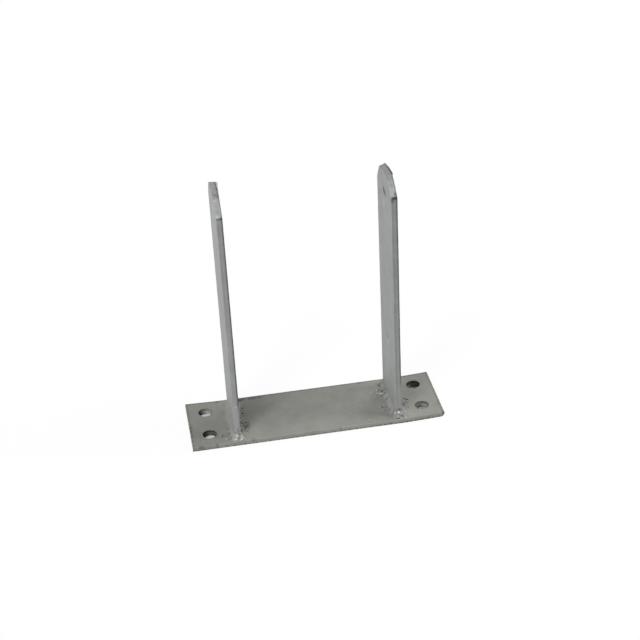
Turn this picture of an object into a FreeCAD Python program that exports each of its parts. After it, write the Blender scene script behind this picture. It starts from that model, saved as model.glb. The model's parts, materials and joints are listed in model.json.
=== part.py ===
"""Fence post anchor: a flat base plate with two upright flat-bar blades welded to it on edge.

Millimetres. +X runs along the plate, +Y across it to the back, +Z up.
The origin is the middle of the plate's underside, which the anchor stands on.
"""
import FreeCAD, Part
import math
import os

# Blades: two lengths of flat bar, stood on end with their wide sides facing each other
blade_width = 60.0
blade_thickness = 6.0
blade_edge_radius = 0.6
blade_gap = 154.0
left_blade_height = 252.0
right_blade_height = 251.0

# Cropped tips: how far each cut runs in from the bar's edge, and how far it drops
left_front_crop_run = 15.5
left_front_crop_drop = 14.0
right_front_crop_run = 15.0
right_front_crop_drop = 12.5
left_back_crop_run = 11.0
left_back_crop_drop = 14.0
right_back_crop_run = 13.0
right_back_crop_drop = 17.5

# Base plate: flat bar sheared to length, with a ledge left beside each edge of the blades for the weld
plate_length = 250.0
plate_thickness = 5.0
plate_edge_radius = 0.8
side_ledge = 7.5

# Fixing holes, one near each corner of the plate
hole_diameter = 14.0
hole_from_end = 18.5
hole_from_side = 18.5

# Fillet welds, laid by hand right round the foot of each blade
weld_side_leg = 4.6
weld_heavy_side_leg = 6.2
weld_end_setback = 1.0
weld_side_rise = 4.4
weld_end_rise = 7.0
weld_bulge = 0.12
ripple_pitch = 4.8
ripple_depth = 0.5
weld_lump_length = 6.0

# Where the welder dwelt on a side bead: place along the blade, and extra leg there
left_inner_lumps = [(-14.0, 2.4), (13.0, 1.4)]
left_outer_lumps = [(-20.0, 0.8)]
right_inner_lumps = [(12.0, 3.2), (-8.0, 0.9)]
right_outer_lumps = [(-6.0, 3.4), (-17.0, 1.2)]

# The bead is drawn from near the blade's middle, and a little into the blade and the plate.
# The blade and the plate are then cut out of it, so that it seats on both.
weld_core = 1.0
weld_bite = 0.8

plate_width = blade_width + 2 * side_ledge
blade_x = (blade_gap + blade_thickness) / 2
weld_end_leg = side_ledge - weld_end_setback


def rounded_bar(width_x, width_y, height, radius, base_z):
    """Upright bar of rectangular section, with its four long edges rounded as rolled."""
    corner = FreeCAD.Vector(-width_x / 2, -width_y / 2, base_z)
    bar = Part.makeBox(width_x, width_y, height, corner)
    long_edges = [edge for edge in bar.Edges if abs(edge.tangentAt(edge.FirstParameter).z) > 0.9]
    return bar.makeFillet(radius, long_edges)


def make_plate():
    """Base plate: rolled long edges, sheared ends and four plain holes."""
    corner = FreeCAD.Vector(-plate_length / 2, -plate_width / 2, 0)
    plate = Part.makeBox(plate_length, plate_width, plate_thickness, corner)
    long_edges = [edge for edge in plate.Edges if abs(edge.tangentAt(edge.FirstParameter).x) > 0.9]
    plate = plate.makeFillet(plate_edge_radius, long_edges)
    hole_x = plate_length / 2 - hole_from_end
    hole_y = plate_width / 2 - hole_from_side
    for x in (-hole_x, hole_x):
        for y in (-hole_y, hole_y):
            hole = Part.makeCylinder(hole_diameter / 2, plate_thickness, FreeCAD.Vector(x, y, 0))
            plate = plate.cut(hole)
    return plate


def crop_wedge(side, run, drop, top_z):
    """The corner that a crop takes off a blade's tip; side is -1 at the front, +1 at the back."""
    edge_y = side * blade_width / 2
    outline = [
        FreeCAD.Vector(-blade_thickness, edge_y - side * run, top_z),
        FreeCAD.Vector(-blade_thickness, edge_y, top_z - drop),
        FreeCAD.Vector(-blade_thickness, edge_y + side * run, top_z - 2 * drop),
        FreeCAD.Vector(-blade_thickness, edge_y + side * run, top_z + drop),
        FreeCAD.Vector(-blade_thickness, edge_y - 2 * side * run, top_z + drop),
    ]
    face = Part.Face(Part.makePolygon(outline + outline[:1]))
    return face.extrude(FreeCAD.Vector(2 * blade_thickness, 0, 0))


def make_blade(height, front_run, front_drop, back_run, back_drop):
    """One blade, standing on the plate at x = 0, with both top corners cropped."""
    top_z = plate_thickness + height
    blade = rounded_bar(blade_thickness, blade_width, height, blade_edge_radius, plate_thickness)
    blade = blade.cut(crop_wedge(-1, front_run, front_drop, top_z))
    return blade.cut(crop_wedge(1, back_run, back_drop, top_z))


def lump(y, lumps):
    """Extra leg at a place along a side bead, from the lumps that the welder left there."""
    return sum(extra * math.exp(-(((y - at) / weld_lump_length) ** 2)) for at, extra in lumps)


def weld_stations(minus_leg, plus_leg, minus_lumps, plus_lumps):
    """Places round the blade's foot, each with its root, direction, leg and rise.

    The root follows a line down the middle of the blade's foot and turns about the ends of it,
    so that the bead wraps round both ends of the blade.
    """
    half = blade_width / 2 - blade_thickness / 2
    side_count = 2 * round(2 * half / ripple_pitch)
    turn = math.pi * (blade_thickness / 2 + weld_end_leg)
    end_count = 2 * round(turn / ripple_pitch)
    stations = []
    for sign, leg, lumps, other in ((1, plus_leg, plus_lumps, minus_leg), (-1, minus_leg, minus_lumps, plus_leg)):
        for i in range(side_count):
            y = sign * half * (2 * i / side_count - 1)
            reach = leg + lump(y, lumps)
            stations.append((y, 0.0 if sign > 0 else math.pi, reach, weld_side_rise))
        for i in range(end_count):
            part = i / end_count
            angle = math.pi * part + (0.0 if sign > 0 else math.pi)
            swing = math.sin(math.pi * part) ** 2
            side_leg = leg + lump(sign * half, lumps) if part < 0.5 else other
            reach = side_leg + swing * (weld_end_leg - side_leg)
            rise = weld_side_rise + swing * (weld_end_rise - weld_side_rise)
            stations.append((sign * half, angle, reach, rise))
    return stations


def weld_section(y, angle, reach, rise, is_crest):
    """Upright section of the bead, from inside the blade out to its toe and down into the plate."""
    away = FreeCAD.Vector(math.cos(angle), math.sin(angle), 0)
    root = FreeCAD.Vector(0, y, plate_thickness)
    up = FreeCAD.Vector(0, 0, 1)
    down = FreeCAD.Vector(0, 0, -weld_bite)
    to_face = blade_thickness / 2 / max(abs(away.x), abs(away.y))
    ripple = 0.0 if is_crest else ripple_depth
    toe = blade_thickness / 2 + reach - ripple
    inner = to_face - weld_bite
    top = rise - ripple + weld_bite * rise / reach
    middle_out = (toe + inner) / 2 + weld_bulge * top
    middle_up = top / 2 + weld_bulge * (toe - inner)
    core = root + away * weld_core
    at_toe = root + away * toe
    face_middle = root + away * middle_out + up * middle_up
    at_blade = root + away * inner + up * top
    edges = [
        Part.LineSegment(core + down, at_toe + down).toShape(),
        Part.LineSegment(at_toe + down, at_toe).toShape(),
        Part.Arc(at_toe, face_middle, at_blade).toShape(),
        Part.LineSegment(at_blade, core + up * top).toShape(),
        Part.LineSegment(core + up * top, core + down).toShape(),
    ]
    return Part.Wire(edges)


def make_weld(blade, minus_leg, plus_leg, minus_lumps, plus_lumps):
    """Rippled fillet bead that closes on itself round the foot of a blade at x = 0."""
    stations = weld_stations(minus_leg, plus_leg, minus_lumps, plus_lumps)
    sections = [weld_section(*station, i % 2 == 0) for i, station in enumerate(stations)]
    bead = Part.makeLoft(sections, True, True, True)
    plate_here = Part.makeBox(plate_width, plate_width, plate_thickness)
    plate_here.translate(FreeCAD.Vector(-plate_width / 2, -plate_width / 2, 0))
    return bead.cut(plate_here).cut(blade)


def moved(shape, x):
    """The shape, moved along the plate."""
    shape = shape.copy()
    shape.translate(FreeCAD.Vector(x, 0, 0))
    return shape


def main():
    left_blade = make_blade(left_blade_height, left_front_crop_run, left_front_crop_drop,
                            left_back_crop_run, left_back_crop_drop)
    right_blade = make_blade(right_blade_height, right_front_crop_run, right_front_crop_drop,
                             right_back_crop_run, right_back_crop_drop)
    left_weld = make_weld(left_blade, weld_side_leg, weld_heavy_side_leg, left_outer_lumps, left_inner_lumps)
    right_weld = make_weld(right_blade, weld_side_leg, weld_side_leg, right_inner_lumps, right_outer_lumps)
    nodes = {
        "base_plate": make_plate(),
        "left_blade": moved(left_blade, -blade_x),
        "right_blade": moved(right_blade, blade_x),
        "left_weld": moved(left_weld, -blade_x),
        "right_weld": moved(right_weld, blade_x),
    }
    os.makedirs("parts", exist_ok=True)
    for name, shape in nodes.items():
        solids = shape.Solids
        box = shape.BoundBox
        print(name, "solids", len(solids), "valid", shape.isValid(), "faces", len(shape.Faces),
              "volume", round(shape.Volume, 1),
              "z", round(box.ZMin, 3), round(box.ZMax, 3))
        solids[0].exportStep(f"parts/{name}.step")


main()
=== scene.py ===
import json
import math
import random

import bpy
import numpy as np
from mathutils import Matrix, Vector, noise


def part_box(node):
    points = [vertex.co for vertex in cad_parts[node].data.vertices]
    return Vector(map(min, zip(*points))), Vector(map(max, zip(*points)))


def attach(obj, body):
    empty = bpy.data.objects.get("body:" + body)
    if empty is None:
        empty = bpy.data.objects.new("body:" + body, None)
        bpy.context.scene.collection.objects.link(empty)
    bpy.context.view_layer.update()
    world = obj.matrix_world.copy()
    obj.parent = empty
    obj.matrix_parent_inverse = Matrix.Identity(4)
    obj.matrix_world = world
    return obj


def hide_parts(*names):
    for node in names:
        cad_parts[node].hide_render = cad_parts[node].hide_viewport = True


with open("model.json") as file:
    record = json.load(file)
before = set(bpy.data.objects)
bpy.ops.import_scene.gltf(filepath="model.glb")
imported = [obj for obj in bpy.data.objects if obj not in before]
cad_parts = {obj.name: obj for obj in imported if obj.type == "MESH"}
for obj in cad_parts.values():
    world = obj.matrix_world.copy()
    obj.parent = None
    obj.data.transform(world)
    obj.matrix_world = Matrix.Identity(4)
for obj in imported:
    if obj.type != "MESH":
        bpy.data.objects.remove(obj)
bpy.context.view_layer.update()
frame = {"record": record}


# Camera. It stands before the plate's left end and looks down on it, tilted a little, as in the photograph.
# Its place, angles and lens follow from the outlines of the plate, its holes and the blades there.
mm = 0.001
camera_place = Vector((-172.4, -1197.3, 837.9)) * mm
camera_heading = math.radians(8.706)
camera_dip = math.radians(31.096)
camera_tilt = math.radians(-2.767)
camera_lens = 82.63
sensor_width = 36

camera = bpy.data.objects.new("camera", bpy.data.cameras.new("camera"))
camera.data.sensor_width = sensor_width
camera.data.lens = camera_lens
camera.matrix_world = (
    Matrix.Translation(camera_place)
    @ Matrix.Rotation(-camera_heading, 4, "Z")
    @ Matrix.Rotation(math.pi / 2 - camera_dip, 4, "X")
    @ Matrix.Rotation(camera_tilt, 4, "Z")
)
bpy.context.scene.collection.objects.link(camera)
bpy.context.scene.camera = camera


# Base plate. A length of mild steel flat bar, rolled with soft long edges, sheared at both ends and drilled
# with four plain holes. The right end's break slopes in underneath, and the welds drew the ends up a little
# as they cooled and shrank.
plate_low, plate_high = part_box("base_plate")
plate_top = plate_high.z
hole_pattern = next(m for m in frame["record"]["mounts"] if m["name"] == "fixing_holes")["dims"]
zinc_in_hole = 0.25 * mm
hole_radius = hole_pattern["hole_r_mm"] * mm - zinc_in_hole
hole_x = hole_pattern["spacing_x_mm"] * mm / 2
hole_y = hole_pattern["spacing_y_mm"] * mm / 2
hole_centres = [(cx, cy) for cx in (-hole_x, hole_x) for cy in (-hole_y, hole_y)]
rolled_edge = 0.6 * mm
sheared_edge = 0.4 * mm
drilled_edge = 0.2 * mm
drip_height = 1.5 * mm
drip_reach = 0.8 * mm
drip_reach_at_back = 1.2 * mm
drip_length = 3 * mm
hole_block = 9.5 * mm
plate_cell = 0.8 * mm
hole_rings = 5
bent_from_x = 83 * mm
bend_power = 1.4
right_end_up_by = 1.5 * mm
left_back_corner_up_by = 1.2 * mm
right_end_under = 2.2 * mm
break_height = 0.65 * plate_top
break_reach = 4 * mm
zinc_swell, zinc_swell_size = 0.05 * mm, 9 * mm
zinc_grain, zinc_grain_size = 0.02 * mm, 3 * mm
lowest_zinc = -0.02 * mm
edge_wander, wander_length = 0.16 * mm, 7 * mm
wander_depth, wander_zone = 1.2 * mm, 2 * mm
# Nicks in the front edge: place along the plate and depth, in mm.
edge_nicks = [(-115.5, 0.9), (-101.2, 0.9), (-65.9, 0.9), (20.0, 0.4)]
nick_length, nick_reach = 1.3 * mm, 1.6 * mm
# Painted shade in each hole: all round, on its left, at its upper and lower rims, and how far round the last
# goes.
hole_painted_shade = {
    (-1, -1): (0.32, 1.0, 1.8, 2.6, 1.5), (-1, 1): (-0.12, 1.3, 0.2, 1.5, 0.5),
    (1, 1): (0.52, 0.85, 0.1, 1.0, 1.0), (1, -1): (-0.10, 0.1, 0.8, 2.5, 0.6),
}
# Dark spots along the edges: place and radius in mm, and how dark.
edge_soil = [
    (-70.9, 33.4, 1.6, 1.0), (-68.4, 32.9, 1.6, 1.0), (-66.0, 33.5, 1.5, 1.5), (-60.6, 33.4, 1.8, 0.8),
    (-57.2, 33.2, 1.6, 0.8), (-54.0, 33.6, 1.8, 0.6), (-49.6, 33.4, 1.8, 0.6), (-93.5, 34.2, 1.6, 0.6),
    (124.2, -36.8, 1.2, 0.4), (53.6, 34.6, 1.6, 0.4), (-94.6, -24.2, 1.2, 0.9), (-123.6, -11.0, 1.6, 0.5),
    (-123.4, -5.0, 1.5, 0.5), (-124.0, -18.6, 1.4, 0.5), (-118.0, -37.4, 1.0, 0.4),
]
# Painted light and shade in soft patches: middle, half length and half width in mm, and how much brighter.
patches_of_painted_light = [
    (-114, 0, 16, 60, -0.15), (0, -28, 90, 10, 0.04), (0, 32, 60, 9, -0.10), (-42, 2, 11, 26, -0.07),
    (113, -22, 16, 18, -0.10), (63, -14, 11, 20, 0.06),
]
# How dark the painted shade is along each edge, and the painted shadow along the front's lower edge.
right_edge_shade, back_edge_shade, left_edge_shade, low_front_shadow = 0.40, 0.40, 0.30, 0.8
shade_from_edge, shade_width = 1.3 * mm, 1.1 * mm
dash_length = 2.2 * mm


def spaced(stops, step):
    """Places from the first stop to the last, evenly spaced between each two."""
    places = [stops[0]]
    for start, end in zip(stops, stops[1:]):
        count = max(1, round((end - start) / step))
        places += [start + (end - start) * (i + 1) / count for i in range(count)]
    return places


def nearest(places, value):
    """Index of the place that lies nearest to a value."""
    return min(range(len(places)), key=lambda i: abs(places[i] - value))


def broad_face(points, faces, xs, ys, z, upward):
    """One broad face of the plate, open round each hole. Returns its outer loop and the holes' loops."""
    blocks = []
    for cx, cy in hole_centres:
        left, right = nearest(xs, cx - hole_block), nearest(xs, cx + hole_block)
        front, back = nearest(ys, cy - hole_block), nearest(ys, cy + hole_block)
        blocks.append((left, right, front, back, cx, cy))
    index = {}
    for i, x in enumerate(xs):
        for j, y in enumerate(ys):
            if not any(a < i < b and c < j < d for a, b, c, d, _, _ in blocks):
                index[i, j] = len(points)
                points.append((x, y, z))
    quads = []
    for i in range(len(xs) - 1):
        for j in range(len(ys) - 1):
            if not any(a <= i < b and c <= j < d for a, b, c, d, _, _ in blocks):
                quads.append((index[i, j], index[i + 1, j], index[i + 1, j + 1], index[i, j + 1]))
    loops = []
    for a, b, c, d, cx, cy in blocks:
        block_edge = [index[key] for key in round_block(a, b, c, d)]
        ring, count = block_edge, len(block_edge)
        for step in range(1, hole_rings + 1):
            inner = []
            for start in block_edge:
                away = Vector(points[start][:2]) - Vector((cx, cy))
                place = away.lerp(away.normalized() * (hole_radius + drilled_edge), step / hole_rings)
                inner.append(len(points))
                points.append((cx + place.x, cy + place.y, z))
            for k in range(count):
                following = (k + 1) % count
                quads.append((ring[k], ring[following], inner[following], inner[k]))
            ring = inner
        loops.append(ring)
    faces += quads if upward else [quad[::-1] for quad in quads]
    outer = [index[key] for key in round_block(0, len(xs) - 1, 0, len(ys) - 1)]
    return outer, loops


def round_block(a, b, c, d):
    """Grid places round a block of cells, turning left."""
    low = [(i, c) for i in range(a, b)]
    right = [(b, j) for j in range(c, d)]
    high = [(i, d) for i in range(b, a, -1)]
    left = [(a, j) for j in range(d, c, -1)]
    return low + right + high + left


def rounded_wall(points, faces, upper, lower, reaches, corner):
    """Wall between two loops that bulges by each point's reach, with a rounded edge above and below."""
    bend = [math.radians(angle) for angle in (30, 60, 90)]
    top_z, low_z = points[upper[0]][2], points[lower[0]][2]
    levels = [(math.sin(a), top_z - corner * (1 - math.cos(a))) for a in bend]
    levels += [(1.0, top_z + (low_z - top_z) * share) for share in (0.18, 0.34, 0.5, 0.66, 0.82)]
    levels += [(math.sin(a), low_z + corner * (1 - math.cos(a))) for a in reversed(bend)]
    ring = upper
    for share, z in levels:
        following = []
        for start, reach in zip(upper, reaches):
            following.append(len(points))
            points.append((points[start][0] + reach[0] * share, points[start][1] + reach[1] * share, z))
        faces += stitched(ring, following, True)
        ring = following
    faces += stitched(ring, lower, True)


def stitched(first, second, outside):
    """Quads between two loops of as many points, turned to face outside or inside."""
    count = len(first)
    quads = [(first[k], second[k], second[(k + 1) % count], first[(k + 1) % count]) for k in range(count)]
    return quads if outside else [quad[::-1] for quad in quads]


def plate_lift(x, y):
    """How far the plate has bent up from flat at a place: the right end, and the left end's back corner."""
    bend = (max(0.0, abs(x) - bent_from_x) / (plate_high.x - bent_from_x)) ** bend_power
    if x > 0:
        return right_end_up_by * bend
    return left_back_corner_up_by * bend * (y - plate_low.y) / (plate_high.y - plate_low.y)


def fading(distance, width):
    """A share that is one at no distance and dies away over about that width."""
    return math.exp(-((distance / width) ** 2))


def wear_plate(point):
    """The sloping break, zinc lips in the holes, uneven zinc, wandering edges, nicks and the bend."""
    x, y, z = point
    place = Vector(point)
    x -= right_end_under * max(0, 1 - z / break_height) * max(0, 1 - (plate_high.x - x) / break_reach)
    for cx, cy in hole_centres:
        away = math.hypot(x - cx, y - cy)
        if away < hole_radius + 2 * drilled_edge and z < drip_height:
            at_back = max(0, (y - cy) / away - 0.4 * (x - cx) / away)
            uneven = 1 + 0.3 * noise.noise(place / drip_length)
            inward = (drip_reach + drip_reach_at_back * at_back) * uneven * (1 - z / drip_height)
            x -= (x - cx) / away * inward
            y -= (y - cy) / away * inward
    skin = zinc_swell * noise.noise(place / zinc_swell_size)
    skin += zinc_grain * noise.noise(place / zinc_grain_size)
    z += skin if z > plate_top / 2 else -abs(skin)
    from_end, from_side = plate_high.x - abs(x), plate_high.y - abs(y)
    wander = edge_wander * noise.noise(place / wander_length)
    wander *= fading(min(from_end, from_side), wander_depth)
    x -= math.copysign(wander, x) if from_end < wander_zone else 0
    y -= math.copysign(wander, y) if from_side < wander_zone else 0
    for nick_x, depth in edge_nicks:
        from_edge = math.hypot(y - plate_low.y, z - plate_top)
        bite = depth * mm * fading(x - nick_x * mm, nick_length) * fading(from_edge, nick_reach)
        y += bite
        z -= bite
    return x, y, max(z, lowest_zinc) + plate_lift(x, y)


def mesh_piece(name, points, faces):
    """A smooth-shaded mesh object made of points and faces."""
    mesh = bpy.data.meshes.new(name)
    mesh.from_pydata(points, [], faces)
    mesh.update()
    mesh.polygons.foreach_set("use_smooth", [True] * len(mesh.polygons))
    piece = bpy.data.objects.new(name, mesh)
    bpy.context.scene.collection.objects.link(piece)
    return piece


plate_xs = spaced(
    [plate_low.x + sheared_edge, -hole_x - hole_block, -hole_x + hole_block,
     hole_x - hole_block, hole_x + hole_block, plate_high.x - sheared_edge], plate_cell)
plate_ys = spaced(
    [plate_low.y + rolled_edge, -hole_y - hole_block, -hole_y + hole_block,
     hole_y - hole_block, hole_y + hole_block, plate_high.y - rolled_edge], plate_cell)
points, faces = [], []
top_loop, top_holes = broad_face(points, faces, plate_xs, plate_ys, plate_top, True)
low_loop, low_holes = broad_face(points, faces, plate_xs, plate_ys, plate_low.z, False)
edge_reaches = []
for start in top_loop:
    x, y, _ = points[start]
    at_end = abs(abs(x) - plate_xs[-1]) < plate_cell / 4
    at_side = abs(abs(y) - plate_ys[-1]) < plate_cell / 4
    edge_reaches.append((math.copysign(sheared_edge, x) * at_end, math.copysign(rolled_edge, y) * at_side))
rounded_wall(points, faces, top_loop, low_loop, edge_reaches, rolled_edge)
for centre, upper, lower in zip(hole_centres, top_holes, low_holes):
    inward = [(Vector(centre) - Vector(points[k][:2])).normalized() * drilled_edge for k in upper]
    rounded_wall(points, faces, upper, lower, inward, drilled_edge)
base_plate = mesh_piece("plate_of_flat_bar", [wear_plate(p) for p in points], faces)


def set_marks(piece, strength):
    """Stores how marked each point of a piece is: below zero is dark, above is bright."""
    layer = piece.data.attributes.new("mark", "FLOAT", "POINT")
    layer.data.foreach_set("value", [strength(vertex.co) for vertex in piece.data.vertices])


def hole_mark(point, cx, cy):
    """Painted shade on a hole's wall: some all round, more on its left side, and dark lines at its rims."""
    hole = int(math.copysign(1, cx)), int(math.copysign(1, cy))
    all_round, on_left, upper_rim, lower_rim, lower_reach = hole_painted_shade[hole]
    depth = (plate_top + plate_lift(cx, cy) - point.z) / plate_top
    leftward = (cx - point.x) / hole_radius
    reached = min(1, max(0, lower_reach + 0.8 * leftward))
    rims = upper_rim * (1 - depth) ** 4 + lower_rim * depth**5 * reached
    return -all_round - on_left * max(0, leftward) ** 1.5 - rims


def edge_line(distance):
    """How strong the thin line of painted shade is at a distance from an edge: it runs a little way in."""
    return fading(distance - shade_from_edge, shade_width)


def plate_mark(point):
    """Painted shade in holes, nicks and along edges, dark spots, and painted light and shade in patches."""
    for cx, cy in hole_centres:
        on_wall = point.z < plate_top + plate_lift(cx, cy) - 0.02 * plate_top
        if math.hypot(point.x - cx, point.y - cy) < hole_radius + 0.7 * drilled_edge and on_wall:
            return hole_mark(point, cx, cy)
    x, y = point.x / mm, point.y / mm
    from_front, from_top = point.y - plate_low.y, plate_top - point.z
    mark = 0.0
    for spot_x, spot_y, radius, dark in edge_soil:
        mark -= dark * fading(math.hypot(x - spot_x, y - spot_y), radius)
    # The nicks are painted darker, as shade in the dents, the more so the deeper they are.
    for nick_x, depth in edge_nicks:
        mark -= depth * fading(x - nick_x, 1.5) * fading(from_front, 1.5 * mm) * fading(from_top, 2.5 * mm)
    # Painted light and shade on the plate's top, patch by patch.
    for middle_x, middle_y, half_length, half_width, tone in patches_of_painted_light:
        mark += tone * fading(x - middle_x, half_length) * fading(y - middle_y, half_width)
    uneven = 1 + 0.8 * noise.noise(point / (3 * mm))
    mark -= right_edge_shade * uneven * edge_line(plate_high.x - point.x)
    mark -= back_edge_shade * uneven * edge_line(plate_high.y - point.y)
    mark -= left_edge_shade * uneven * edge_line(point.x - plate_low.x)
    # A painted shadow in dashes along the front's lower edge, stronger by the right blade.
    dashes = max(0.1, 0.7 + 2.4 * noise.noise(Vector((point.x / dash_length, 0, 7))))
    by_right_blade = 1 + 1.2 * fading(x - 92, 32)
    from_low_edge = math.hypot(from_front, point.z - plate_lift(point.x, point.y))
    return mark - low_front_shadow * dashes * by_right_blade * fading(from_low_edge, 1.4 * mm)


set_marks(base_plate, plate_mark)


def linear(hex_colour):
    """A colour written as sRGB hex, as the linear colour that a shader takes."""
    shares = [int(hex_colour[i:i + 2], 16) / 255 for i in (1, 3, 5)]
    return [s / 12.92 if s <= 0.04045 else ((s + 0.055) / 1.055) ** 2.4 for s in shares] + [1.0]


def add(tree, kind, settings=None, inputs=None):
    """Adds a node to a shader tree, with its settings, and with values or links on its inputs."""
    node = tree.nodes.new(kind)
    for name, value in (settings or {}).items():
        setattr(node, name, value)
    for name, value in (inputs or {}).items():
        if isinstance(value, bpy.types.NodeSocket):
            tree.links.new(value, node.inputs[name])
        else:
            node.inputs[name].default_value = value
    return node


def hot_dip_zinc(name, pale, dull, along, lines_show, roughness):
    """Hot-dip zinc gone dull: soft grey clouds where it froze slowly, faint spangle, lines of the rolling
    below it, and a fine grain. The zinc is a metal, but its bloom of oxide scatters most of the light."""
    cloud_size, spangle_size, grain_size = 16 * mm, 5 * mm, 0.9 * mm
    line_length, line_width = 90 * mm, 2.2 * mm
    swell_height, grain_height = 0.15 * mm, 0.03 * mm
    clouds_show, spangle_shows = 0.60, 0.10
    material = bpy.data.materials.new(name)
    material.use_nodes = True
    tree = material.node_tree
    shader = tree.nodes["Principled BSDF"]
    shader.inputs["Metallic"].default_value = 0.25
    place = add(tree, "ShaderNodeTexCoord").outputs["Object"]
    clouds = add(tree, "ShaderNodeTexNoise", inputs={
        "Vector": place, "Scale": 1 / cloud_size, "Detail": 4.0, "Roughness": 0.55})
    line_scale = [1 / line_length if axis == along else 1 / line_width for axis in "XYZ"]
    stretched = add(tree, "ShaderNodeMapping", inputs={"Vector": place, "Scale": line_scale})
    lines = add(tree, "ShaderNodeTexNoise", inputs={
        "Vector": stretched.outputs["Vector"], "Scale": 1.0, "Detail": 2.0})
    grain = add(tree, "ShaderNodeTexNoise", inputs={
        "Vector": place, "Scale": 1 / grain_size, "Detail": 3.0, "Roughness": 0.6})
    spangle = add(tree, "ShaderNodeTexVoronoi", inputs={"Vector": place, "Scale": 1 / spangle_size})
    spangle_tone = add(tree, "ShaderNodeRGBToBW", inputs={"Color": spangle.outputs["Color"]})
    cloud_share = add(tree, "ShaderNodeMath", {"operation": "MULTIPLY"}, {
        0: clouds.outputs["Fac"], 1: clouds_show})
    line_share = add(tree, "ShaderNodeMath", {"operation": "MULTIPLY_ADD"}, {
        0: lines.outputs["Fac"], 1: lines_show, 2: cloud_share.outputs[0]})
    tone = add(tree, "ShaderNodeMath", {"operation": "MULTIPLY_ADD"}, {
        0: spangle_tone.outputs[0], 1: spangle_shows, 2: line_share.outputs[0]})
    middle = (clouds_show + lines_show + spangle_shows) / 2
    spread = add(tree, "ShaderNodeMapRange", inputs={
        "Value": tone.outputs[0], "From Min": middle - 0.18, "From Max": middle + 0.18})
    colour = add(tree, "ShaderNodeMix", {"data_type": "RGBA"}, {
        0: spread.outputs["Result"], 6: linear(dull), 7: linear(pale)})
    # The mark blends the zinc towards soot for dirt and painted shade, and towards pale for painted light
    # and glints.
    mark = add(tree, "ShaderNodeAttribute", {"attribute_name": "mark"})
    dark_share = add(tree, "ShaderNodeMath", {"operation": "MULTIPLY", "use_clamp": True}, {
        0: mark.outputs["Fac"], 1: -1.0})
    soil_and_shade = add(tree, "ShaderNodeMix", {"data_type": "RGBA"}, {
        0: dark_share.outputs[0], 6: colour.outputs[2], 7: linear("#2d2c28")})
    bright_share = add(tree, "ShaderNodeMath", {"operation": "MULTIPLY", "use_clamp": True}, {
        0: mark.outputs["Fac"], 1: 1.0})
    final = add(tree, "ShaderNodeMix", {"data_type": "RGBA"}, {
        0: bright_share.outputs[0], 6: soil_and_shade.outputs[2], 7: linear("#d5d7d4")})
    tree.links.new(final.outputs[2], shader.inputs["Base Color"])
    gloss = add(tree, "ShaderNodeMapRange", inputs={
        "Value": grain.outputs["Fac"], "From Min": 0.3, "From Max": 0.7,
        "To Min": roughness - 0.06, "To Max": roughness + 0.08})
    tree.links.new(gloss.outputs["Result"], shader.inputs["Roughness"])
    swell = add(tree, "ShaderNodeBump", inputs={
        "Height": clouds.outputs["Fac"], "Strength": 0.6, "Distance": swell_height})
    fine = add(tree, "ShaderNodeBump", inputs={
        "Height": grain.outputs["Fac"], "Strength": 0.5, "Distance": grain_height,
        "Normal": swell.outputs["Normal"]})
    tree.links.new(fine.outputs["Normal"], shader.inputs["Normal"])
    return material


zinc_on_plate = hot_dip_zinc("hot_dip_zinc_on_plate", "#8f908a", "#7f8079", "X", 0.12, 0.58)
base_plate.data.materials.append(zinc_on_plate)
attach(base_plate, "root")
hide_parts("base_plate")


# Blades. Two lengths of mild steel flat bar stood on end across the plate. A cropping machine took both
# top corners off: each cut is rolled over on its far side and left a ragged lip on the bar's front edge.
cut_edge = 0.35 * mm
rolled_over = 0.8 * mm
near_edge = 0.4 * mm
bevel_length = 9 * mm
burr_height = 2.2 * mm
corner_softness = 0.6 * mm
bar_swell, bar_swell_size = 0.06 * mm, 9 * mm
bar_grain, bar_grain_size = 0.02 * mm, 2.5 * mm
tip_wander, tip_wander_size = 0.2 * mm, 2.2 * mm
lip_reach, lip_height, lip_width, lip_grain_size = 0.6 * mm, 0.7 * mm, 0.9 * mm, 1.3 * mm
bar_cell = 0.9 * mm
shaft_cell = 2.4 * mm
tip_length = 32 * mm
tip_cell = 0.45 * mm
# Places of the cap's columns across the bar, as shares of its half thickness.
columns = [-1, -0.93, -0.8, -0.6, -0.35, -0.1, 0.15, 0.4, 0.58, 0.72, 0.83, 0.92, 1]


def bar_outline(half_thickness, half_width, radius):
    """Plan of a flat bar as rows from front to back: how far each row reaches from the middle, and its y."""
    bend = [math.radians(angle) for angle in (0, 22.5, 45, 67.5)]
    corner_x, corner_y = half_thickness - radius, -half_width + radius
    front = [(corner_x + radius * math.sin(a), corner_y - radius * math.cos(a)) for a in bend]
    flat = [(half_thickness, y) for y in spaced([corner_y, -corner_y], bar_cell)]
    back = [(reach, -y) for reach, y in reversed(front)]
    return front + flat + back


def tip_height(x, y, low, high, tip):
    """Height of the cropped tip at a place on the blade's plan, a little rounded at its corners."""
    places = [low.y + from_front * mm for from_front, _, _ in tip]
    near_tops = [high.z - down * mm for _, down, _ in tip]
    far_tops = [high.z - down * mm for _, _, down in tip]
    share = min(1, max(0, (x - low.x) / (high.x - low.x)))
    around = [y - corner_softness, y, y + corner_softness]
    near = float(np.mean(np.interp(around, places, near_tops)))
    far = float(np.mean(np.interp(around, places, far_tops)))
    return near + (far - near) * share


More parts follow.
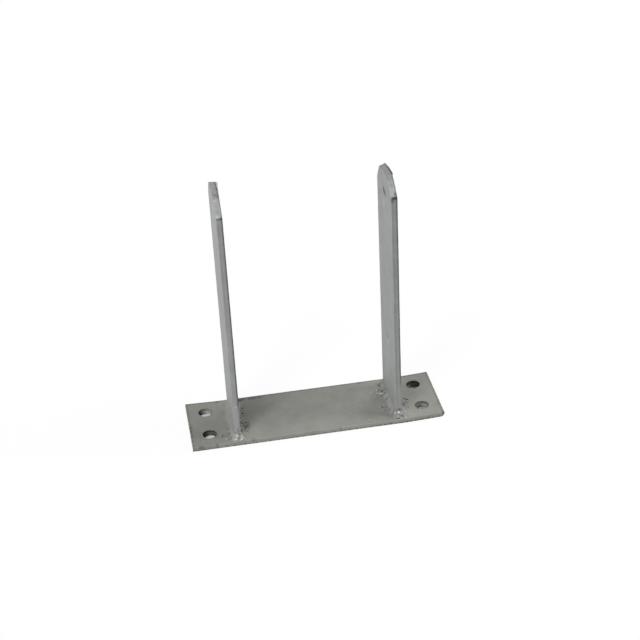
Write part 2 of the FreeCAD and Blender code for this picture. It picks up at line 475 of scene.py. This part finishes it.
def blade_mesh(name, node, form):
    """A blade as rows of points round its plan, carried up to the cropped tip and closed over it."""
    low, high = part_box(node)
    middle, edge = (low.x + high.x) / 2, (high.y - low.y) / 2
    outline = bar_outline((high.x - low.x) / 2, edge, form["corner"] * mm)
    last_row, last_column = len(outline) - 1, len(columns) - 1
    around = [(row, 0) for row in range(last_row + 1)]
    around += [(last_row, column) for column in range(1, last_column)]
    around += [(row, last_column) for row in range(last_row, -1, -1)]
    around += [(0, column) for column in range(last_column - 1, 0, -1)]
    shaft = high.z - low.z
    heights = spaced([0, shaft - tip_length], shaft_cell)
    heights += spaced([shaft - tip_length, shaft - cut_edge], tip_cell)[1:]
    tops = {
        (row, column): tip_height(middle + share * reach, y, low, high, form["tip"])
        for row, (reach, y) in enumerate(outline)
        for column, share in enumerate(columns)
    }
    points, faces = [], []

    def place(row, column, inset, z):
        reach, y = outline[row]
        points.append(Vector((middle + columns[column] * (reach - inset), y * (edge - inset) / edge, z)))
        return len(points) - 1

    rings = []
    for height in heights:
        rings.append([place(*key, 0, low.z + height / shaft * (tops[key] - low.z)) for key in around])
    for angle in (30, 60):
        inset = cut_edge * (1 - math.cos(math.radians(angle)))
        rise = cut_edge * math.sin(math.radians(angle))
        rings.append([place(*key, inset, tops[key] - cut_edge + rise) for key in around])
    cells = [(row, column) for row in range(last_row + 1) for column in range(last_column + 1)]
    cap = {key: place(*key, cut_edge, tops[key]) for key in cells}
    foot = {key: place(*key, 0, low.z) for key in cells}
    rings.append([cap[key] for key in around])
    for ring, following in zip(rings, rings[1:]):
        faces += stitched(following, ring, False)
    faces += stitched(rings[0], [foot[key] for key in around], False)
    for row in range(last_row):
        for column in range(last_column):
            corners = [(row, column), (row, column + 1), (row + 1, column + 1), (row + 1, column)]
            faces.append(tuple(cap[key] for key in corners))
            faces.append(tuple(foot[key] for key in reversed(corners)))
    return mesh_piece(name, [wear_blade(point, low, high, form) for point in points], faces)


def worn_corner(from_side, from_top, radius):
    """How far a point of a square corner moves in from its side and its top when the corner is rounded."""
    if from_side >= radius or from_top >= radius:
        return 0.0, 0.0
    reach = Vector((radius - from_side, radius - from_top))
    if reach.length <= radius:
        return 0.0, 0.0
    rounded = reach * (radius / reach.length)
    return reach.x - rounded.x, reach.y - rounded.y


def out_of_square(point, low, high, form):
    """How far a blade stands to one side at a place, as it leans and is a little twisted."""
    share = (point.z - low.z) / (high.z - low.z)
    lean, twist = [foot + (top - foot) * share for foot, top in (form["lean"], form["twist"])]
    return (lean - twist * point.y / high.y) * mm


def wear_blade(point, low, high, form):
    """Uneven zinc, worn edges round the cut, a burr, the ragged lip, and the blade out of square."""
    shift = Vector((form["seed"], 0, 0))
    middle = (low.x + high.x) / 2
    below = tip_height(point.x, point.y, low, high, form["tip"]) - point.z
    skin = bar_swell * noise.noise(point / bar_swell_size + shift)
    skin += bar_grain * noise.noise(point / bar_grain_size + shift)
    worn = point.copy()
    worn.x += max(-1, min(1, (point.x - middle) / (2 * mm))) * skin
    if below < 0.6 * cut_edge:
        worn.z += tip_wander * noise.noise(point / tip_wander_size + shift)
    bevel_y, bevel_radius = form["bevel"]
    near_radius = near_edge + bevel_radius * mm * fading(point.y - bevel_y * mm, bevel_length)
    inward, downward = worn_corner(point.x - low.x, below, near_radius)
    worn.x += inward
    worn.z -= downward
    inward, downward = worn_corner(high.x - point.x, below, rolled_over)
    worn.x -= inward
    worn.z -= downward
    burr_reach = float(np.interp(point.y / mm, *form["burr"])) * mm
    far_share = max(0, (point.x - middle) / (high.x - middle)) ** 4
    worn.x += burr_reach * far_share * fading(below, burr_height)
    ragged = 1 + 0.7 * noise.noise(point / lip_grain_size + shift)
    lip = fading(below, lip_height) - 0.4 * fading(below - 1.5 * mm, 0.5 * mm)
    worn.y -= lip_reach * ragged * fading(point.y - low.y, lip_width) * lip
    worn.x += out_of_square(point, low, high, form)
    return worn


def blade_mark(point, low, high, form):
    """Painted shade at the lip and far edges, back dirt, streaks, painted light by height, and the spots."""
    square = point - Vector((out_of_square(point, low, high, form), 0, 0))
    # The distances from here on are in mm.
    from_near, from_far = (square.x - low.x) / mm, (high.x - square.x) / mm
    from_front, from_back = (point.y - low.y) / mm, (high.y - point.y) / mm
    height, shoulder = (point.z - low.z) / mm, (high.z - low.z) / mm - form["tip"][0][1]
    below = (tip_height(square.x, square.y, low, high, form["tip"]) - point.z) / mm
    uneven = 1 + 0.5 * noise.noise(point / (3 * mm))
    on_slope = 1 / (1 + math.exp((from_front - 14) / 1.5))
    on_burr = min(1, max(0, -from_far / 0.5))
    on_lip = fading(from_front, 0.9) * fading(height - shoulder, 0.8)
    on_far_top = fading(from_far, 1.1 - 0.3 * on_slope) * fading(below, 1.4) * (1 - on_burr)
    on_far_edge = fading(from_far, 1.2) * fading(from_front, 1.5)
    on_near = 1 / (1 + math.exp((from_near - 0.3) / 0.12))
    on_front = (1 - on_near) * fading(from_front, 1.2)

    across = from_near / (from_near + from_far)
    # Painted shade under the lip, on the far top and down the far front edge, and dirt at the back.
    shade_and_grime = 0.6 * (1 + across) * on_lip
    shade_and_grime += form["far_top_shade"] * (1 - 0.45 * on_slope) * uneven * on_far_top
    shade_and_grime += np.interp(height, shaded_far_edge_heights, form["shaded_far_edge"]) * uneven * on_far_edge
    shade_and_grime += form["back_soil"] * fading(from_back, 5)

    streak = noise.noise(Vector((square.x / (0.8 * mm), 0, point.z / (14 * mm))))
    # The burr's tone is a painted highlight on the left blade and painted shade on the right one.
    tone = (form["cut_tone"] + 0.35 * streak) * on_slope * fading(below, 0.8) + form["burr_light_and_shade"] * on_burr
    # Painted light and shade by height on the near side and front, and painted streaks of highlight and
    # shade.
    front_tone = sum(strength * fading(from_near - at, 0.7) for at, strength in form["front_light_streaks"])
    front_tone *= np.interp(height, streak_heights, (0, 1))
    front_tone += np.interp(height, light_and_shade_heights, form["front_light_and_shade"])
    tone += front_tone * on_front + np.interp(height, light_and_shade_heights, form["near_light_and_shade"]) * on_near
    for x, y, z, radius, strength in form["spots"]:
        tone += strength * fading((point - Vector((x, y, z)) * mm).length, radius * mm)
    return tone - shade_and_grime


# Heights above the plate, in mm, that the painted light and shade on a blade's sides, its streaks and its
# far edge go by.
light_and_shade_heights = (0, 40, 140, 250)
streak_heights = (18, 36)
shaded_far_edge_heights = (28, 42)
# The cut tips: place from the front edge, then how far the near and the far side lie below the top, in mm.
left_tip = [
    (0, 14.0, 14.0), (14.5, 0.2, 0.3), (26, -0.4, -0.3), (43, -1.2, -1.5), (48.9, -0.9, -0.1),
    (60, 14.0, 14.0),
]
right_tip = [
    (0, 12.4, 12.6), (8.6, 5.0, 4.8), (14.4, -0.3, 0.6), (19.4, -0.4, -1.7), (21.2, -0.4, -1.3),
    (22.4, -0.3, -2.5), (34.3, -0.1, -2.1), (46.5, 0.1, -0.4), (50.5, 3.0, 0.0), (60, 17.5, 17.5),
]
# Spots on the zinc: place and radius in mm, and how bright, or below zero how dark.
# Those at the front shoulders are a painted highlight on the left lip and painted shade under the right one.
left_spots = [
    (-80.9, -28.5, 244.5, 1.5, 0.35), (-80.3, -10.2, 257, 1.1, -0.9), (-77.8, -12.6, 256.8, 1.2, -1.1),
    (-82.0, -6.2, 257, 1.0, -0.45), (-81.4, -17.0, 255.2, 0.9, 0.30), (-78.0, 11, 256.9, 1.2, -0.8),
    (-78.2, 15, 256.8, 1.4, -0.4), (-83, 4, 38.2, 1.6, -0.8), (-79.0, -30, 13.9, 1.2, -0.5),
    (-76.9, -30, 14.2, 0.9, 0.4), (-78.8, -30, 11.0, 0.9, -0.5),
]
right_spots = [
    (81.6, -30, 243.4, 1.7, -1.0), (79.4, -30, 242.9, 1.0, -0.5), (81.2, -27, 246.2, 1.3, -0.9),
    (77.4, -30, 240.5, 2.2, -0.5), (78.6, -30, 243.6, 1.2, -0.5), (77, 2.4, 239.0, 1.6, -0.9),
    (77, 1.2, 237.4, 2.2, -1.1), (77, -0.6, 236.0, 2.6, -1.1), (77, -5.0, 236.5, 2.8, -0.4),
    (77, -8.5, 239.4, 3.0, -0.25), (77.2, 12, 255.6, 3.0, -0.25), (77.4, 17, 256, 1.6, -0.5),
    (79.5, 16, 256, 1.6, -0.3), (79.5, -20.5, 251.8, 1.2, -0.25), (77, -0.5, 80.5, 2.0, -0.7),
    (77, 0.1, 73.2, 1.8, 0.6), (77, 3.5, 222.5, 3.4, 0.2), (81.2, -30, 11.4, 1.2, -0.9),
    (82.6, -10.0, 257.2, 1.3, 0.9),
]
# Each blade's shape in mm, with lean and twist at foot and top, its painted light and shade, and dirt at its
# back.
blade_forms = {
    "left_blade": {
        "tip": left_tip, "corner": 1.1, "bevel": (-14, 1.8),
        "burr": ([-14, 17.5, 18.3], [0, 2.5, 0]), "lean": (0.2, -0.1), "twist": (0.45, 0.1),
        "burr_light_and_shade": 0.4, "cut_tone": 0.12, "far_top_shade": 0.9, "shaded_far_edge": (0.4, 1.15), "back_soil": 0.0,
        "near_light_and_shade": (0.11, 0.0, 0.0, 0.10), "front_light_and_shade": (0.20, 0.06, 0.03, 0.0), "front_light_streaks": [],
        "spots": left_spots, "seed": 3.1,
    },
    "right_blade": {
        "tip": right_tip, "corner": 0.7, "bevel": (-15, 1.2),
        "burr": ([-9.6, -8.8, 8, 17], [0, 1.0, 0.7, 0.2]), "lean": (0.4, -0.6), "twist": (0.15, 0.2),
        "burr_light_and_shade": -0.8, "cut_tone": 0.16, "far_top_shade": 1.3, "shaded_far_edge": (0.0, 0.95), "back_soil": 0.10,
        "near_light_and_shade": (0.17, 0.14, 0.10, 0.06), "front_light_and_shade": (0.04, 0.0, -0.03, -0.13),
        "front_light_streaks": [(0.2, 0.12), (1.2, -0.14), (3.2, 0.05)],
        "spots": right_spots, "seed": 7.7,
    },
}
zinc_on_bar = hot_dip_zinc("hot_dip_zinc_on_bar", "#8f9191", "#7e807f", "Z", 0.60, 0.60)
for node, form in blade_forms.items():
    blade = blade_mesh(node + "_of_flat_bar", node, form)
    low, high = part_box(node)
    set_marks(blade, lambda point: blade_mark(point, low, high, form))
    blade.data.materials.append(zinc_on_bar)
    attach(blade, "root")
    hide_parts(node)


# Welds. A fillet run by hand round each blade's foot with a stick or wire: smooth beside the blade, lumpy
# round its ends where the welder dwelt, with specks of slag at the toe. Zinc lies over all of it.
weld_cell = 0.3 * mm
weld_reach = 20 * mm
side_leg = 5.2 * mm
end_leg = 6.5 * mm
side_rise = 4.4 * mm
end_rise = 7.0 * mm
back_end_leg = 5.2 * mm
back_end_rise = 3.6 * mm
ripple_pitch = 2.4 * mm
ripple_height = 0.05 * mm
weld_sink = 0.3 * mm
speck_rise = 0.4 * mm
leg_wander, leg_wander_size = 0.9 * mm, 8 * mm
end_from, end_blend = 3 * mm, 5 * mm
turn_radius = 4.5 * mm
ripple_bow = 1.1 * mm
weld_from_edge = 0.9 * mm
# Unevenness: height beside the blade, how much more round its ends, size, in mm, and the noise's seed.
bead_unevenness = [(0.12, 0.18, 2.6, 5), (0.05, 0.07, 1.1, 9)]
# Lumps on the beads: place, radius and height in mm, and how bright, or below zero how dark.
# The small bright lumps are painted glints. The broad dark ones by the left blade are painted shadow on its
# inner flank, and the broad bright ones by the right blade are painted light on its inner flank.
left_lumps = [
    (-80.9, -33.0, 1.1, 0.4, 0.8), (-82.2, -35.1, 1.1, 0.4, 0.9), (-75.9, -33.5, 0.9, 0.4, 0.7),
    (-76.7, -35.4, 1.3, 0.4, 0.9), (-85.6, -26.3, 1.0, 0.2, 0.3), (-79.0, -34.4, 0.9, -0.3, -0.7),
    (-78.4, -31.6, 1.2, -0.3, -0.9), (-73.6, -31.8, 1.4, 0.0, -0.8), (-75.4, -26.0, 1.4, 0.0, -1.0),
    (-74.9, -36.0, 1.1, 0.2, -0.6), (-86.9, -32.6, 1.6, 0.2, -0.8), (-75.3, 6.0, 2.8, 0.0, -0.40),
    (-75.3, -1.0, 3.0, 0.0, -0.50), (-74.8, -8.0, 3.2, 0.0, -0.50), (-74.4, -15.0, 3.4, 0.0, -0.55),
    (-75.0, -22.0, 3.2, 0.0, -0.50), (-71.0, -13.0, 4.0, 0.0, -0.30), (-79.2, -36.2, 1.4, 0.2, -0.2),
    (-69.0, -14.0, 3.0, 0.8, -0.1), (-68.5, 14.0, 2.6, 0.6, 0.0), (-70.3, 28.3, 1.6, 0.7, 0.25),
    (-71.0, 24.0, 2.0, 0.5, 0.1),
]
# Specks of slag at the toes: place and radius in mm, and how bright, or below zero how dark.
# The bright specks are painted glints.
left_slag = [
    (-70.4, 8.4, 1.0, -0.9), (-71.6, -2.8, 1.0, -0.9), (-69.4, -6.9, 1.5, -1.0), (-66.2, -14.6, 1.1, -0.9),
    (-71.3, -19.5, 1.2, -0.9), (-75.3, -21.6, 1.5, -0.9), (-73.3, 1.1, 1.1, -0.9),
    (-71.5, -11.6, 1.6, -0.6), (-68.5, 17.0, 1.0, -0.7), (-71.3, 18.1, 1.0, -0.7), (-70.5, 14.8, 1.0, -0.7),
    (-66.1, 32.9, 1.3, -0.9), (-70.4, 31.1, 1.2, -0.9), (-66.0, -7.7, 1.1, -0.8), (-68.9, -14.0, 1.2, -0.8),
    (-86.7, -15.8, 1.0, -0.7), (-87.3, -22.6, 1.1, -1.0), (-86.8, -29.6, 1.0, -0.8),
    (-88.3, -2.3, 0.9, -0.4), (-91.0, -30.7, 1.0, 0.4), (-69.0, -22.6, 0.9, -0.4), (-72.4, -8.4, 1.3, -0.8),
    (-70.6, -16.6, 1.2, -0.8), (-67.4, -11.2, 1.2, -0.7), (-72.6, 5.2, 1.0, -0.7),
]
right_lumps = [
    (80.0, -32.2, 1.2, 0.5, 1.3), (76.4, -32.2, 0.9, 0.3, 0.9), (82.6, -32.9, 0.9, 0.3, 0.8),
    (83.4, -30.4, 1.1, -0.3, -0.9), (78.4, -34.4, 1.2, 0.3, 0.5), (83.2, -34.2, 1.1, -0.2, -0.8),
    (75.4, -33.0, 1.6, 0.2, 0.0), (75.3, 20.0, 4.2, 0.0, 0.08), (81.9, -35.8, 1.0, 0.3, 0.6),
    (75.3, -22.0, 4.8, 0.0, 0.10), (75.3, -14.0, 4.8, 0.0, 0.10), (75.3, -6.0, 4.8, 0.0, 0.10),
    (75.3, 2.0, 4.8, 0.0, 0.10), (70.0, 11.0, 1.0, 0.7, 1.1), (72.3, 10.0, 0.9, 0.6, 0.7),
    (70.8, 21.0, 1.2, 0.6, 0.35), (71.5, 14.0, 3.0, 1.2, 0.0), (90.0, -7.0, 3.0, 1.2, 0.0),
    (92.8, -9.3, 1.2, 0.5, 0.2), (74.3, 29.6, 1.3, 0.5, 0.3),
]
right_slag = [
    (72.1, 25.4, 1.6, -0.9), (70.2, 17.9, 1.1, -0.9), (72.8, 13.1, 1.4, -0.9), (74.3, 8.1, 1.4, -0.9),
    (70.9, 7.0, 1.1, -0.8), (76.0, 12.3, 1.1, -0.7), (67.7, 12.7, 1.0, 1.1), (68.4, 18.2, 1.0, 0.7),
    (64.9, -11.6, 1.0, 0.8), (66.8, -12.1, 1.0, -0.7), (70.4, -9.8, 0.9, 0.4), (74.7, -3.1, 1.0, -0.6),
    (72.1, -14.7, 1.0, -0.6), (73.5, -20.0, 1.4, -0.8), (92.2, -3.6, 1.5, -1.0), (95.0, -6.2, 1.2, -0.8),
    (88.8, -7.4, 1.0, -0.7), (88.9, -12.2, 1.6, -1.0), (89.7, -14.9, 1.1, -0.8), (87.2, -14.3, 1.1, -0.8),
    (87.6, -17.1, 1.0, -0.7), (92.7, -19.2, 1.0, -0.3), (85.0, -23.0, 1.1, -0.6), (78.8, -36.4, 1.5, -1.0),
    (94.2, -5.4, 1.2, -0.9),
]
crust_seed = 5


def toe_crust(draw, xs, ys, count):
    """Small specks strewn along a bead's toe, most of them dark slag and a few of them bright as painted
    glints.
    """
    tones = (-0.7, -0.5, -0.3, 0.2)
    return [
        (draw.uniform(*xs), draw.uniform(*ys), draw.uniform(0.6, 1.3), draw.choice(tones))
        for _ in range(count)
    ]


def rough(x, y, size, seed):
    """Smooth noise over a grid of places, for features of that size."""
    values = [noise.noise(Vector((a / size, b / size, seed))) for a, b in zip(x.ravel(), y.ravel())]
    return np.array(values).reshape(x.shape)


def bead_height(x, y, foot_x, half_thickness, half_width, lumps, slag, seed):
    """Height of the weld above the plate over a grid of places, below zero where there is none."""
    across, along = np.abs(x - foot_x), np.abs(y)
    out = np.hypot(np.maximum(across - half_thickness, 0), np.maximum(along - half_width, 0))
    at_end = np.clip((along - half_width + end_from) / end_blend, 0, 1)
    at_end = at_end * at_end * (3 - 2 * at_end)
    leg = side_leg + (np.where(y < 0, end_leg, back_end_leg) - side_leg) * at_end
    leg += leg_wander * rough(x, y, leg_wander_size, seed)
    rise = side_rise + (np.where(y < 0, end_rise, back_end_rise) - side_rise) * at_end
    share = out / leg
    bead = rise * np.maximum(1 - share, 0) ** 1.7 * (1 + 0.8 * share)
    height = np.where(share < 1, bead, rise * 0.5 * (1 - share))
    turn = np.arctan2(np.maximum(along - half_width + half_thickness, 0), across)
    path = np.minimum(along, half_width - half_thickness) + turn * turn_radius
    lap = np.cos(2 * math.pi * (path + ripple_bow * share**2) / ripple_pitch)
    height += np.where(share < 1, ripple_height * lap * (1 - share), 0)
    for beside, more_at_end, size, own_seed in bead_unevenness:
        height += (beside + more_at_end * at_end) * mm * rough(x, y, size * mm, seed + own_seed)
    for lump_x, lump_y, radius, swell, _ in lumps:
        away = ((x - lump_x * mm) ** 2 + (y - lump_y * mm) ** 2) / (radius * mm) ** 2
        height += swell * mm * np.exp(-away)
    for speck_x, speck_y, radius, _ in slag:
        dome = 1 - ((x - speck_x * mm) ** 2 + (y - speck_y * mm) ** 2) / (radius * mm) ** 2
        height = np.where(dome > -0.6, soft_max(height, speck_rise * dome), height)
    return height


def soft_max(first, second):
    """The higher of two surfaces, blended where they cross."""
    blend = 0.12 * mm
    return (first + second + np.sqrt((first - second) ** 2 + blend**2)) / 2


def weld_mesh(name, blade_node, lumps, slag, end_tone, seed):
    """The weld as a skin over the plate, closed underneath, its slag, painted glints and painted shade
    stored as marks.
    """
    low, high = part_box(blade_node)
    foot_x, half_thickness, half_width = (low.x + high.x) / 2, (high.x - low.x) / 2, (high.y - low.y) / 2
    reach_y = plate_high.y - weld_from_edge
    xs = np.array(spaced([foot_x - weld_reach, foot_x + weld_reach], weld_cell))
    ys = np.array(spaced([-reach_y, reach_y], weld_cell))
    x, y = np.meshgrid(xs, ys, indexing="ij")
    height = bead_height(x, y, foot_x, half_thickness, half_width, lumps, slag, seed)
    past_end = np.clip((np.abs(y) - half_width) / mm, 0, 1)
    mark = end_tone * past_end
    for spot_x, spot_y, radius, tone in [(a, b, c, e) for a, b, c, _, e in lumps] + slag:
        away = (x - spot_x * mm) ** 2 + ((y - spot_y * mm) * (1 + past_end)) ** 2
        mark += tone * np.exp(-away / (0.85 * radius * mm) ** 2)
    keep = height > -weld_sink
    cells = keep[:-1, :-1] & keep[1:, :-1] & keep[1:, 1:] & keep[:-1, 1:]
    points, faces, marks = [], [], []
    upper, lower = {}, {}

    def corner(i, j):
        if (i, j) not in upper:
            lift = plate_top + plate_lift(float(xs[i]), float(ys[j]))
            upper[i, j] = len(points)
            points.append((float(xs[i]), float(ys[j]), lift + float(height[i, j])))
            lower[i, j] = len(points)
            points.append((float(xs[i]), float(ys[j]), lift - 2 * weld_sink))
            marks.extend([float(mark[i, j])] * 2)
        return upper[i, j]

    sides = {}
    for i, j in zip(*np.nonzero(cells)):
        ring = [(i, j), (i + 1, j), (i + 1, j + 1), (i, j + 1)]
        faces.append(tuple(corner(*key) for key in ring))
        faces.append(tuple(lower[key] for key in reversed(ring)))
        for a, b in zip(ring, ring[1:] + ring[:1]):
            if sides.pop((b, a), None) is None:
                sides[a, b] = True
    faces += [(upper[a], lower[a], lower[b], upper[b]) for a, b in sides]
    weld = mesh_piece(name, points, faces)
    layer = weld.data.attributes.new("mark", "FLOAT", "POINT")
    layer.data.foreach_set("value", marks)
    return weld


draw = random.Random(crust_seed)
left_slag += toe_crust(draw, (-76.5, -67), (-24, 22), 55)
left_slag += toe_crust(draw, (-92, -86), (-28, 8), 6)
right_slag += toe_crust(draw, (67, 74), (-20, 30), 14)
right_slag += toe_crust(draw, (87, 94), (-20, 0), 10)
zinc_on_weld = hot_dip_zinc("hot_dip_zinc_on_weld", "#858681", "#757672", "Y", 0.30, 0.55)
for node, blade_node, lumps, slag, end_tone, seed in (
    ("left_weld", "left_blade", left_lumps, left_slag, 0.05, 1.5),
    ("right_weld", "right_blade", right_lumps, right_slag, -0.14, 4.5),
):
    weld = weld_mesh(node + "_bead", blade_node, lumps, slag, end_tone, seed)
    weld.data.materials.append(zinc_on_weld)
    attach(weld, "root")
    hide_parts(node)


# Spatter. Beads of weld metal that flew off, stuck to the plate and the blades, and took zinc with the rest.
# Those that show in the photograph are placed one by one, and the others thin out away from each weld.
spatter_seed = 11
beads_on_side, beads_round_foot = 5, 26
# Beads that show, on the plate and on the left blade's front: place and radius in mm.
plate_spatter = [
    (-88.8, -0.8, 0.6), (-96.5, -24.0, 0.9), (-91.0, -30.1, 0.9), (-86.8, -29.5, 0.7), (61.3, 13.8, 0.8),
    (35.4, -0.8, 0.6), (35.0, -15.8, 0.8), (49.6, -12.6, 0.6), (56.8, -17.1, 0.6), (64.7, -11.3, 1.0),
    (70.2, -9.2, 0.8), (51.2, -30.2, 0.8), (105.9, -3.4, 0.7), (114.9, -12.2, 0.7), (110.0, 28.2, 0.7),
    (-78.7, -36.8, 0.8), (85.9, -36.2, 0.9),
]
blade_spatter = (-79.6, -30.0, 40.1, 1.0)


def spatter_bead(points, faces, marks, place, radius, up):
    """A flattened bead, half sunk in the surface it stuck to, with a painted highlight on top and painted
    shade round its foot.
    """
    rounds = 10
    painted_light_by_level = (-0.6, 0.0, 0.5, 0.5)
    levels = len(painted_light_by_level)
    turn = Vector((0, 0, 1)).rotation_difference(up)
    first = len(points)
    for level, mark in enumerate(painted_light_by_level):
        angle = math.pi / 2 * level / levels - 0.25
        reach, rise = math.cos(angle), 0.8 * math.sin(angle)
        for k in range(rounds):
            around = 2 * math.pi * k / rounds
            local = Vector((reach * math.cos(around), reach * math.sin(around), rise))
            points.append(tuple(place + turn @ (local * radius)))
            marks.append(mark)
    marks += [0.5, 0.0]
    points.append(tuple(place + turn @ Vector((0, 0, 0.8 * radius))))
    points.append(tuple(place - turn @ Vector((0, 0, 0.25 * radius))))
    for level in range(levels - 1):
        ring, following = first + level * rounds, first + (level + 1) * rounds
        faces += stitched([ring + k for k in range(rounds)], [following + k for k in range(rounds)], False)
    last = first + (levels - 1) * rounds
    for k in range(rounds):
        faces.append((last + k, last + (k + 1) % rounds, len(points) - 2))
        faces.append((first + (k + 1) % rounds, first + k, len(points) - 1))


draw = random.Random(spatter_seed)
points, faces, marks = [], [], []
for x, y, radius in plate_spatter:
    place = Vector((x * mm, y * mm, plate_top + plate_lift(x * mm, y * mm)))
    spatter_bead(points, faces, marks, place, radius * mm, Vector((0, 0, 1)))
*place, radius = blade_spatter
spatter_bead(points, faces, marks, Vector(place) * mm, radius * mm, Vector((0, -1, 0)))
for blade_node in ("left_blade", "right_blade"):
    low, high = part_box(blade_node)
    for side, out in ((low.x, Vector((-1, 0, 0))), (high.x, Vector((1, 0, 0)))):
        for _ in range(beads_on_side):
            y = draw.uniform(low.y, high.y) * 0.9
            place = Vector((side, y, low.z + 6 * mm + draw.expovariate(1 / (14 * mm))))
            spatter_bead(points, faces, marks, place, draw.uniform(0.25, 0.6) * mm, out)
    for _ in range(beads_round_foot):
        x = (low.x + high.x) / 2 + draw.choice((-1, 1)) * (8 * mm + draw.expovariate(1 / (12 * mm)))
        y = draw.uniform(low.y, high.y)
        in_hole = any(math.hypot(x - cx, y - cy) < hole_radius + 1.5 * mm for cx, cy in hole_centres)
        if abs(x) < plate_high.x - 2 * mm and not in_hole:
            place = Vector((x, y, plate_top + plate_lift(x, y)))
            spatter_bead(points, faces, marks, place, draw.uniform(0.2, 0.5) * mm, Vector((0, 0, 1)))
spatter = mesh_piece("weld_spatter", points, faces)
spatter.data.attributes.new("mark", "FLOAT", "POINT").data.foreach_set("value", marks)
spatter.data.materials.append(zinc_on_weld)
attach(spatter, "root")


# Floor and light. Pale paper under the anchor, white to the camera and in what the zinc mirrors, that still
# takes the anchor's shadow. Under the plate it is matt paper that shows in the holes, with painted shadow at
# the right.
floor_half = 3.0
floor_white_share = 0.94
shadow_near, shadow_far = 0.15, 0.45
open_under = 4 * mm
floor_drop = 0.05 * mm


def seen_or_mirrored(tree):
    """One for what the camera, a mirror or something clear sees, and zero for what lights the scene."""
    rays = add(tree, "ShaderNodeLightPath")
    seen = add(tree, "ShaderNodeMath", {"operation": "ADD", "use_clamp": True}, {
        0: rays.outputs["Is Camera Ray"], 1: rays.outputs["Is Glossy Ray"]})
    with_clear = add(tree, "ShaderNodeMath", {"operation": "ADD", "use_clamp": True}, {
        0: seen.outputs[0], 1: rays.outputs["Is Transmission Ray"]})
    return with_clear.outputs[0]


floor_corners = [(x * floor_half, y * floor_half, 0) for x, y in ((-1, -1), (1, -1), (1, 1), (-1, 1))]
floor = mesh_piece("paper_floor", floor_corners, [(0, 1, 2, 3)])
floor.location.z = -floor_drop
paper = bpy.data.materials.new("pale_paper")
paper.use_nodes = True
tree = paper.node_tree
tree.nodes.clear()
floor_place = add(tree, "ShaderNodeTexCoord").outputs["Object"]
floor_axes = add(tree, "ShaderNodeSeparateXYZ", inputs={"Vector": floor_place})
past_end = add(tree, "ShaderNodeMath", {"operation": "ABSOLUTE"}, {0: floor_axes.outputs["X"]})
past_side = add(tree, "ShaderNodeMath", {"operation": "ABSOLUTE"}, {0: floor_axes.outputs["Y"]})
off_end = add(tree, "ShaderNodeMath", {"operation": "GREATER_THAN"}, {
    0: past_end.outputs[0], 1: plate_high.x - open_under})
off_side = add(tree, "ShaderNodeMath", {"operation": "GREATER_THAN"}, {
    0: past_side.outputs[0], 1: plate_high.y - open_under})
in_open = add(tree, "ShaderNodeMath", {"operation": "MAXIMUM"}, {
    0: off_end.outputs[0], 1: off_side.outputs[0]})
from_middle = add(tree, "ShaderNodeVectorMath", {"operation": "LENGTH"}, {0: floor_place})
white_there = add(tree, "ShaderNodeMapRange", inputs={
    "Value": from_middle.outputs["Value"], "From Min": shadow_near, "From Max": shadow_far,
    "To Min": floor_white_share, "To Max": 1.0})
open_share = add(tree, "ShaderNodeMath", {"operation": "MULTIPLY"}, {
    0: in_open.outputs[0], 1: white_there.outputs["Result"]})
white_share = add(tree, "ShaderNodeMath", {"operation": "MULTIPLY"}, {
    0: seen_or_mirrored(tree), 1: open_share.outputs[0]})
# Painted shadow: the covered paper under the plate's right half is darker.
shadow_at_right = add(tree, "ShaderNodeMath", {"operation": "GREATER_THAN"}, {0: floor_axes.outputs["X"], 1: 0.0})
covered_paper_and_shadow = add(tree, "ShaderNodeMix", {"data_type": "RGBA"}, {
    0: shadow_at_right.outputs[0], 6: linear("#ededea"), 7: linear("#a8a8a4")})
paper_colour = add(tree, "ShaderNodeMix", {"data_type": "RGBA"}, {
    0: in_open.outputs[0], 6: covered_paper_and_shadow.outputs[2], 7: linear("#fcfcfa")})
matt = add(tree, "ShaderNodeBsdfDiffuse", inputs={"Color": paper_colour.outputs[2]})
white = add(tree, "ShaderNodeEmission", inputs={"Color": linear("#ffffff"), "Strength": 1.0})
blend = add(tree, "ShaderNodeMixShader", inputs={
    0: white_share.outputs[0], 1: matt.outputs[0], 2: white.outputs[0]})
add(tree, "ShaderNodeOutputMaterial", inputs={"Surface": blend.outputs[0]})
floor.data.materials.append(paper)

world = bpy.data.worlds.new("studio")
world.use_nodes = True
bpy.context.scene.world = world
tree = world.node_tree
tree.nodes.clear()
room = add(tree, "ShaderNodeBackground", inputs={"Color": linear("#ffffff"), "Strength": 0.10})
backdrop = add(tree, "ShaderNodeBackground", inputs={"Color": linear("#ffffff"), "Strength": 1.0})
blend = add(tree, "ShaderNodeMixShader", inputs={
    0: seen_or_mirrored(tree), 1: room.outputs[0], 2: backdrop.outputs[0]})
add(tree, "ShaderNodeOutputWorld", inputs={"Surface": blend.outputs[0]})


def soft_lamp(name, place, size, power):
    """A square soft lamp that faces the middle of the anchor."""
    lamp = bpy.data.lights.new(name, "AREA")
    lamp.size = size
    lamp.energy = power
    stand = bpy.data.objects.new(name, lamp)
    target = Vector((0, 0, 0.08))
    stand.location = place
    stand.rotation_euler = (target - Vector(place)).to_track_quat("-Z", "Y").to_euler()
    bpy.context.scene.collection.objects.link(stand)


soft_lamp("front_left_lamp", (-1.05, -1.35, 2.04), 0.65, 36)
soft_lamp("left_lamp", (-3.2, -1.3, 1.2), 2.8, 37)
soft_lamp("back_left_lamp", (-3.2, 1.3, 1.2), 2.8, 28)
soft_lamp("right_lamp", (1.8, -0.15, 1.2), 0.8, 29)
soft_lamp("back_right_lamp", (1.2, 1.4, 1.2), 0.8, 11)

bpy.context.scene.view_settings.view_transform = "Standard"
